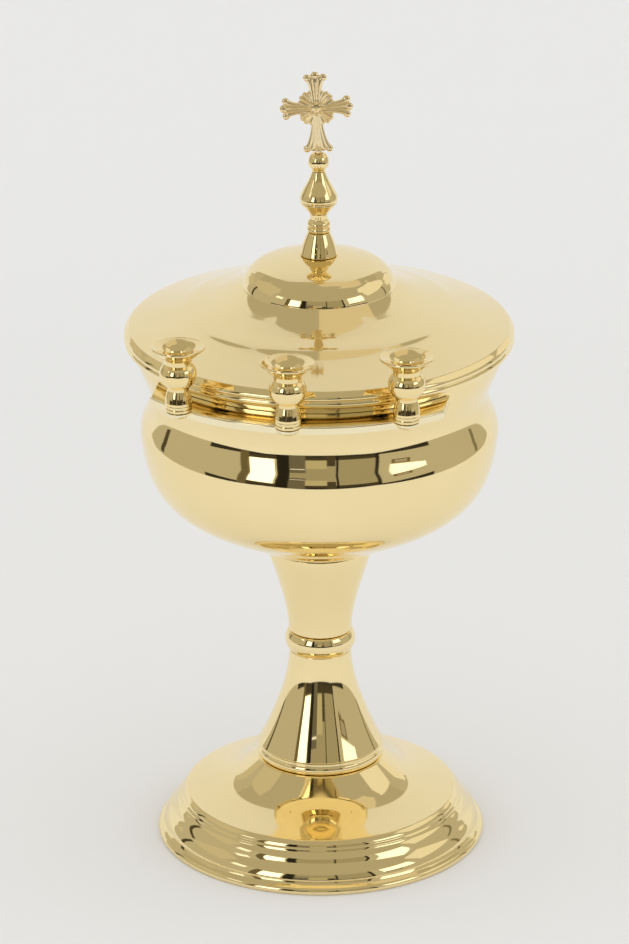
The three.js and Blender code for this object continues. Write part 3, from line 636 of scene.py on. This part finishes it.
# Heights above the socket's foot: screw hole, ringed base, ball, neck, dish and the candle's hole
socket_section = [
    (0, 10), (SCREW_HOLE_R, 10), (SCREW_HOLE_R, 0),
    (6.6, 0), (7.3, 0.9), (7.3, 1.9), (7, 2.6), (7.6, 3.4, 7.3, 4.4), (7.65, 5.2, 7.4, 6.2),
    (7.1, 9.4, 5.9, 12.5), (6.5, 14.5),
    (11.4, 17.4, 11.4, 25, 7.6, 27.6), (7.4, 30.8, 10.2, 32.5),
    (14.2, 36.1), (15, 36.2, 14.9, 37.2), (14.7, 37.9, 13.9, 37.4),
    (8.4, 35.6, 5.7, 33.2, CANDLE_HOLE_R, 29.6), (CANDLE_HOLE_R, CANDLE_HOLE_FLOOR), (0, CANDLE_HOLE_FLOOR),
]
socket = outline(*socket_section, closed=False)
socket[:, 1] += SOCKET_FOOT_Z
socket_places = [
    (SOCKET_CIRCLE_R * math.sin(turn), -SOCKET_CIRCLE_R * math.cos(turn))
    for turn in (-SOCKET_STEP, 0, SOCKET_STEP)
]
for side, centre in zip(SIDES, socket_places):
    turned = lathe(f"socket_{side}", socket, SMALL_STEPS, gilt_turning, closed=False, centre=centre)
    put(turned, "bowl", [f"candle_socket_{side}"])

# Candle ledge: a plate with a rounded upper edge, and a round ear under each socket

LEDGE_ARC_R = 114
LEDGE_CENTRE_Y = -10
LEDGE_INNER_R = 104.3
LEDGE_HALF_W = 81.5
LEDGE_LOW_Z = 292.6
LEDGE_TOP_Z = 297
LEDGE_ROUND = 0.8
LEDGE_ROUND_STEPS = 8
EAR_R = 6.9
EAR_LOW_Z = 294.4
ARC_STEPS = 160
COUNTERBORE_R = 3.8
BELOW_LEDGE_Z = 290
ABOVE_LEDGE_Z = 299


def ledge_ring(inset, height):
    """The plate's edge, drawn in by inset, as points in mm about the axis."""
    outer_r = LEDGE_ARC_R - inset
    half_w = LEDGE_HALF_W - inset
    outer = np.linspace(-1, 1, ARC_STEPS) * math.asin(half_w / outer_r)
    inner = np.linspace(1, -1, ARC_STEPS) * math.asin(half_w / LEDGE_INNER_R)
    ring = [(outer_r * math.sin(a), LEDGE_CENTRE_Y - outer_r * math.cos(a), height) for a in outer]
    return ring + [(LEDGE_INNER_R * math.sin(a), -LEDGE_INNER_R * math.cos(a), height) for a in inner]


# Each level is how far the edge is drawn in and its height
levels = [(0.25, LEDGE_LOW_Z), (0.07, LEDGE_LOW_Z + 0.07), (0, LEDGE_LOW_Z + 0.25)]
for i in range(LEDGE_ROUND_STEPS + 1):
    bend = math.radians(90 * i / LEDGE_ROUND_STEPS)
    levels.append((LEDGE_ROUND * (1 - math.cos(bend)), LEDGE_TOP_Z - LEDGE_ROUND * (1 - math.sin(bend))))
rings = [ledge_ring(inset, height) for inset, height in levels]
count = len(rings[0])
vertices = [(AXIS.x + x * MM, AXIS.y + y * MM, z * MM) for ring in rings for x, y, z in ring]
faces = [tuple(reversed(range(count))), tuple(range(count * (len(rings) - 1), count * len(rings)))]
for k in range(len(rings) - 1):
    for i in range(count):
        j = (i + 1) % count
        faces.append((k * count + i, k * count + j, (k + 1) * count + j, (k + 1) * count + i))
ledge = mesh_object("ledge", vertices, faces, gilt_plate)
ear = outline(
    (0, LEDGE_TOP_Z), (EAR_R, LEDGE_TOP_Z), (6.8, 295.6, 5.4, EAR_LOW_Z), (0, EAR_LOW_Z),
    closed=False,
)
counterbore = outline(
    (0, BELOW_LEDGE_Z), (COUNTERBORE_R, BELOW_LEDGE_Z), (COUNTERBORE_R, EAR_LOW_Z), (0, EAR_LOW_Z),
    soft=0.01,
    closed=False,
)
screw_hole = outline(
    (0, BELOW_LEDGE_Z), (SCREW_HOLE_R, BELOW_LEDGE_Z), (SCREW_HOLE_R, ABOVE_LEDGE_Z), (0, ABOVE_LEDGE_Z),
    soft=0.01,
    closed=False,
)
ears = [lathe("ear", ear, 64, polished_gilt, closed=False, centre=centre) for centre in socket_places]
cuts = [
    lathe("cut", hole, 48, polished_gilt, closed=False, centre=centre)
    for hole in (counterbore, screw_hole)
    for centre in socket_places
]
combine(ledge, ears, "UNION")
put(smooth(combine(ledge, cuts, "DIFFERENCE"), 30), "bowl", ["candle_ledge"])

# Fixings: rods with cut threads, hexagon nuts, washers and slotted screws


THREAD_SEGMENTS = 32
THREAD_DEPTH = 0.54  # of the pitch
NUT_SEGMENTS = 144
NUT_COUNTERSINK = 0.4
NUT_CHAMFER_SLOPE = 1.73  # the corners are turned down at 30 degrees


def thread(name, radius, low, high, pitch, threaded, material, centre=(0.0, 0.0)):
    """A rod whose threaded stretches, given as pairs of heights, carry a 60 degree thread."""
    segments = THREAD_SEGMENTS
    turns = np.arange(segments) / segments
    depth = THREAD_DEPTH * pitch
    heights = {low, high}
    for start, end in threaded:
        heights.update(np.arange(start, end, pitch / 10).tolist())
    rows = [(np.zeros(segments), low)]
    for z in sorted(heights):
        radii = np.full(segments, float(radius))
        if any(start <= z <= end for start, end in threaded):
            groove = np.abs(((z / pitch - turns) % 1) * 2 - 1)
            radii = radius - depth * groove
        chamfer = radius - 1.1 * depth + min(z - low, high - z)
        rows.append((np.minimum(radii, chamfer), z))
    rows.append((np.zeros(segments), high))
    return wound(name, rows, material, closed=False, centre=centre)


def nut(name, flats, bore, low, high, material):
    """A hexagon nut with its corners chamfered at 30 degrees and its bore countersunk."""
    turns = np.arange(NUT_SEGMENTS) * 2 * math.pi / NUT_SEGMENTS
    hexagon = flats / 2 / np.cos((turns + math.pi / 6) % (math.pi / 3) - math.pi / 6)
    face_r = flats * 0.475
    rises = [0.0, 0.05, 0.1, 0.16, 0.23, 0.31, 0.4, 0.5]
    sides = [np.minimum(hexagon, face_r + rise * NUT_CHAMFER_SLOPE) for rise in rises]
    mouth = np.full(NUT_SEGMENTS, bore + NUT_COUNTERSINK)
    wall = np.full(NUT_SEGMENTS, float(bore))
    rows = [(mouth, low)]
    rows += [(side, low + rise) for side, rise in zip(sides, rises)]
    rows += [(side, high - rise) for side, rise in zip(reversed(sides), reversed(rises))]
    rows += [(mouth, high), (wall, high - NUT_COUNTERSINK), (wall, low + NUT_COUNTERSINK)]
    return wound(name, rows, material)


def span(node_name):
    """The lowest and highest points of a node of the frame, in mm."""
    low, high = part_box(node_name)
    return low.z / MM, high.z / MM


def washer(name, node_name, inner, outer):
    """A washer with its edges broken, in place of a node."""
    low, high = span(node_name)
    section = outline((inner, low), (outer, low), (outer, high), (inner, high), soft=0.15)
    return lathe(name, section, SMALL_STEPS, zinc_steel)


# Inside the foot and the stem: an 8 mm rod with its nut, and inside the lid a 4 mm rod with its nut
FOOT_WASHER_R = 15
FINIAL_WASHER_R = 8
TIE_NUT_FLATS = 13
FINIAL_NUT_FLATS = 7
TIE_ROD_PITCH = 1.25
FINIAL_ROD_PITCH = 0.7

washer_in_foot = washer("washer_in_foot", "foot_washer", ROD_HOLE_R, FOOT_WASHER_R)
put(washer_in_foot, "bowl", ["foot_washer"])
washer_in_lid = washer("washer_in_lid", "finial_washer", FINIAL_HOLE_R, FINIAL_WASHER_R)
put(washer_in_lid, "lid", ["finial_washer"])
nut_in_foot = nut("nut_in_foot", TIE_NUT_FLATS, ROD_HOLE_R, *span("tie_rod_nut"), zinc_steel)
put(nut_in_foot, "bowl", ["tie_rod_nut"])
nut_in_lid = nut("nut_in_lid", FINIAL_NUT_FLATS, FINIAL_HOLE_R, *span("finial_nut"), zinc_steel)
put(nut_in_lid, "lid", ["finial_nut"])
low, high = span("tie_rod")
threaded = [(low, low + 24), (high - 16, high)]
rod_in_stem = thread("rod_in_stem", TIE_ROD_R, low, high, TIE_ROD_PITCH, threaded, zinc_steel)
put(rod_in_stem, "bowl", ["tie_rod"])
low, high = span("finial_rod")
threaded = [(low, low + 14), (high - 8, high)]
rod_in_finial = thread("rod_in_finial", FINIAL_ROD_R, low, high, FINIAL_ROD_PITCH, threaded, zinc_steel)
put(rod_in_finial, "lid", ["finial_rod"])

# The boss has a groove round its hole and a broken lower edge
BOSS_R = 21
low, high = span("bowl_boss")
boss = outline(
    (0, high - 2), (ROD_HOLE_R, high - 2), (ROD_HOLE_R, low), (12, low), (12.3, low + 0.4), (12.6, low),
    (BOSS_R - 1, low), (BOSS_R, low + 1), (BOSS_R, high), (0, high),
    closed=False,
)
put(lathe("boss", boss, SMALL_STEPS, plain_brass, closed=False), "bowl", ["bowl_boss"])

# Socket screws: a low domed head with a slot, and a threaded shank that starts inside the head
SCREW_R = 1.5
SCREW_PITCH = 0.5
SCREW_HEAD_R = 3.2
SCREW_HEAD_H = 1.8
SLOT_DEPTH = 0.8
SLOT_CORNERS = ((-4, -0.4), (4, -0.4), (4, 0.4), (-4, 0.4))
BOX_FACES = ((3, 2, 1, 0), (4, 5, 6, 7), (0, 1, 5, 4), (1, 2, 6, 5), (2, 3, 7, 6), (3, 0, 4, 7))

for side, centre in zip(SIDES, socket_places):
    low, high = span(f"socket_screw_{side}")
    threaded = [(low + 2.4, high)]
    shank = thread("shank", SCREW_R, low + 1.4, high, SCREW_PITCH, threaded, gilt_screw, centre)
    dome = outline(
        (0, low), (2.2, low + 0.1, SCREW_HEAD_R, low + 0.9), (SCREW_HEAD_R, low + SCREW_HEAD_H),
        (0, low + SCREW_HEAD_H),
        closed=False,
    )
    head = lathe(f"screw_{side}", dome, 64, gilt_screw, closed=False, centre=centre)
    corners = [
        (AXIS.x + (centre[0] + x) * MM, AXIS.y + (centre[1] + y) * MM, (low + z) * MM)
        for z in (-1, SLOT_DEPTH)
        for x, y in SLOT_CORNERS
    ]
    screw_slot = mesh_object("screw_slot", corners, BOX_FACES)
    combine(head, [screw_slot], "DIFFERENCE")
    combine(head, [shank], "UNION")
    put(smooth(head), "bowl", [f"socket_screw_{side}"])

# Cross: modelled as overlapping ribs, petals and beads, then melted together like the casting.
# It is drawn upright in its own plane, about its centre.

CROSS_STAND_Z = 412.25
CROSS_CENTRE_Z = 26.45  # above its stand
CROSS_LEAN = math.radians(-2.5)
CAST_SOFTNESS = 0.21  # edges are blurred by about this much

# Clockwise from the top: length, half width at the root and at the tip, and whether it is the lower arm
SIDE_ARM = (20.4, 2.6, 6.4, False)
CROSS_ARMS = ((20.9, 2.6, 6.6, False), SIDE_ARM, (26.2, 2.9, 8.3, True), SIDE_ARM)
FANS = 4
RAYS_OF_A_FAN = ((-24, 10.5), (-8, 11.3), (8, 11.3), (24, 10.5))  # turn from the fan's middle, reach
RAY_HALF_WIDTHS = (0.5, 1.05, 1.55)
RAY_DEPTH = 1.5
ROSETTE_BEADS = 8
ROSETTE_CIRCLE_R = 3.35
ROSETTE_BEAD_R = 1.2
ROSETTE_BEAD_DEPTH = 2.75
LOBE_R = 2.1

cross_vertices = []
cross_faces = []


def limb(start, bend, end, widths, depth, quarter=0.0, stations=22, sides=12):
    """A rounded rib along a bent line in the cross's plane. It takes the half widths in turn, stands
    proud by depth on both faces and ends bluntly. quarter turns it clockwise about the centre."""
    a, b, c = (np.array(p, float) for p in (start, bend, end))
    t = (1 - np.cos(np.linspace(0, math.pi, stations)))[:, None] / 2
    path = a * (1 - t) ** 2 + 2 * b * t * (1 - t) + c * t**2
    run = np.concatenate([[0], np.cumsum(np.linalg.norm(np.diff(path, axis=0), axis=1))])
    along = np.gradient(path, axis=0)
    along /= np.linalg.norm(along, axis=1)[:, None]
    width = np.interp(run / run[-1], np.linspace(0, 1, len(widths)), widths)
    from_end = np.minimum(run, run[-1] - run)
    blunt = np.sqrt(np.clip(1 - (1 - np.clip(from_end / width, 0, 1)) ** 2, 0.0004, 1))
    first = len(cross_vertices)
    turn = np.array([[math.cos(quarter), math.sin(quarter)], [-math.sin(quarter), math.cos(quarter)]])
    for place, forward, w, fade in zip(path, along, width, blunt):
        side = np.array([forward[1], -forward[0]])
        for k in range(sides):
            angle = 2 * math.pi * k / sides
            x, y = turn @ (place + side * w * fade * math.cos(angle))
            cross_vertices.append((x, -depth * fade * math.sin(angle), y))
    for s in range(stations - 1):
        for k in range(sides):
            low, high = first + s * sides, first + (s + 1) * sides
            cross_faces.append((low + k, low + (k + 1) % sides, high + (k + 1) % sides, high + k))
    cross_faces.append(tuple(first + k for k in reversed(range(sides))))
    cross_faces.append(tuple(first + (stations - 1) * sides + k for k in range(sides)))


def bead(x, y, radius, depth, quarter=0.0):
    """A round bead, made as a short limb."""
    limb((x, y - radius), (x, y), (x, y + radius), [radius], depth, quarter, stations=14)


def moulded(name):
    """The ribs and beads so far as one object, after which the next one starts empty."""
    obj = mesh_object(name, cross_vertices, cross_faces, gilt_casting)
    obj.data.transform(Matrix.Scale(MM, 4))
    cross_vertices.clear()
    cross_faces.clear()
    return obj


def ring_of_copies(tree, shape, count, radius):
    """Copies of an object's shape at even turns round the cross's centre, in the cross's plane."""
    step = node(tree, "ShaderNodeMath", {0: math.tau, 1: count}, operation="DIVIDE")
    number = node(tree, "GeometryNodeInputIndex")
    turn = node(tree, "ShaderNodeMath", {0: number.outputs[0], 1: step.outputs[0]}, operation="MULTIPLY")
    outward = node(tree, "ShaderNodeCombineXYZ", {2: radius})
    spot = node(
        tree, "ShaderNodeVectorRotate", {"Vector": outward.outputs[0], "Angle": turn.outputs[0]},
        rotation_type="Y_AXIS",
    )
    points = node(tree, "GeometryNodePoints", {"Count": count, "Position": spot.outputs[0]})
    pattern = node(tree, "GeometryNodeObjectInfo", {"Object": shape})
    facing = node(tree, "ShaderNodeCombineXYZ", {1: turn.outputs[0]})
    copies = node(
        tree, "GeometryNodeInstanceOnPoints",
        {"Points": points.outputs[0], "Instance": pattern.outputs["Geometry"], "Rotation": facing.outputs[0]},
    )
    return copies.outputs[0]


def cross_tree():
    """The tree that adds the fans of rays and the rosette of beads to the arms of the cross."""
    tree = bpy.data.node_groups.new("cross_rays_and_rosette", "GeometryNodeTree")
    for label, kind in (
        ("Arms", "Geometry"), ("Ray Fan", "Object"), ("Fans", "Int"),
        ("Bead", "Object"), ("Beads", "Int"), ("Bead Circle Radius", "Float"),
    ):
        tree.interface.new_socket(label, in_out="INPUT", socket_type=f"NodeSocket{kind}")
    tree.interface.new_socket("Cross", in_out="OUTPUT", socket_type="NodeSocketGeometry")
    given = node(tree, "NodeGroupInput").outputs
    fans = ring_of_copies(tree, given["Ray Fan"], given["Fans"], 0.0)
    rosette = ring_of_copies(tree, given["Bead"], given["Beads"], given["Bead Circle Radius"])
    whole = node(tree, "GeometryNodeJoinGeometry")
    for part in (given["Arms"], fans, rosette):
        tree.links.new(part, whole.inputs[0])
    real = node(tree, "GeometryNodeRealizeInstances", {0: whole.outputs[0]})
    cast = node(tree, "GeometryNodeSetMaterial", {0: real.outputs[0], "Material": gilt_casting})
    node(tree, "NodeGroupOutput", {0: cast.outputs[0]})
    return tree


def arm(length, root, tip, lower, quarter):
    """One arm: a flat blade that widens to its tip, two ribs a side, and lobes at the tip."""
    blade = [root, root, root * 1.05, tip * 0.62, tip * 0.8]
    limb((0, 0), (0, 8), (0, length - 1.4), blade, 1.5 if lower else 1.2, quarter, sides=20)
    for side in (-1, 1):
        lobe_x = side * (tip - LOBE_R)
        lobe_y = length - (2.4 if lower else 3.5)
        outer = (side * 1.85, 2), (side * root * 0.75, length * 0.7), (lobe_x, lobe_y)
        limb(*outer, [0.9, 1.0, 1.6], 1.55, quarter)
        bead(lobe_x, lobe_y, LOBE_R, 1.45, quarter)
        if lower:
            limb((side * 0.85, 3), (side * 0.9, 17), (side * 3.4, 25.2), [1.0, 1.2, 1.7], 1.6, quarter)
        else:
            inner = (side * 0.62, 3), (side * 0.5, length * 0.6), (side * 1.5, length - 2.6)
            limb(*inner, [0.6, 0.7, 1.0], 1.65, quarter)
    if not lower:
        bead(0, length - 2.3, 2.3, 1.5, quarter)


for turn, reach in RAYS_OF_A_FAN:
    limb((0, 2.5), (0, 6), (0, reach), RAY_HALF_WIDTHS, RAY_DEPTH, math.radians(45 + turn))
ray_fan = moulded("ray_fan")
bead(0, 0, ROSETTE_BEAD_R, ROSETTE_BEAD_DEPTH)
rosette_bead = moulded("rosette_bead")

for number, measures in enumerate(CROSS_ARMS):
    arm(*measures, number * math.pi / 2)
bead(0, 0, 4.6, 2.0)
bead(0, 0, 1.45, 2.8)

# The tang that stands in the ball of the finial
limb((0, -23), (0, -26), (0, -30.4), [1.9], 1.7)

cross = moulded("cross_casting")
tree = cross_tree()
growth = cross.modifiers.new("rays_and_rosette", "NODES")
growth.node_group = tree
sizes = {
    "Ray Fan": ray_fan,
    "Fans": FANS,
    "Bead": rosette_bead,
    "Beads": ROSETTE_BEADS,
    "Bead Circle Radius": ROSETTE_CIRCLE_R * MM,
}
for label, value in sizes.items():
    growth[tree.interface.items_tree[label].identifier] = value
melt = cross.modifiers.new("melt", "REMESH")
melt.mode = "VOXEL"
melt.voxel_size = CAST_SOFTNESS * MM
melt.use_smooth_shade = True
baked(cross)
for pattern in (ray_fan, rosette_bead):
    bpy.data.objects.remove(pattern)
cross.data.materials.clear()
cross.data.materials.append(gilt_casting)
cross.data.transform(
    Matrix.Translation(AXIS + Vector((0, 0, CROSS_STAND_Z * MM)))
    @ Matrix.Rotation(CAMERA_TURN, 4, "Z")
    @ Matrix.Rotation(CROSS_LEAN, 4, "Y")
    @ Matrix.Translation((0, 0, CROSS_CENTRE_Z * MM))
)
put(cross, "lid", ["cross"])
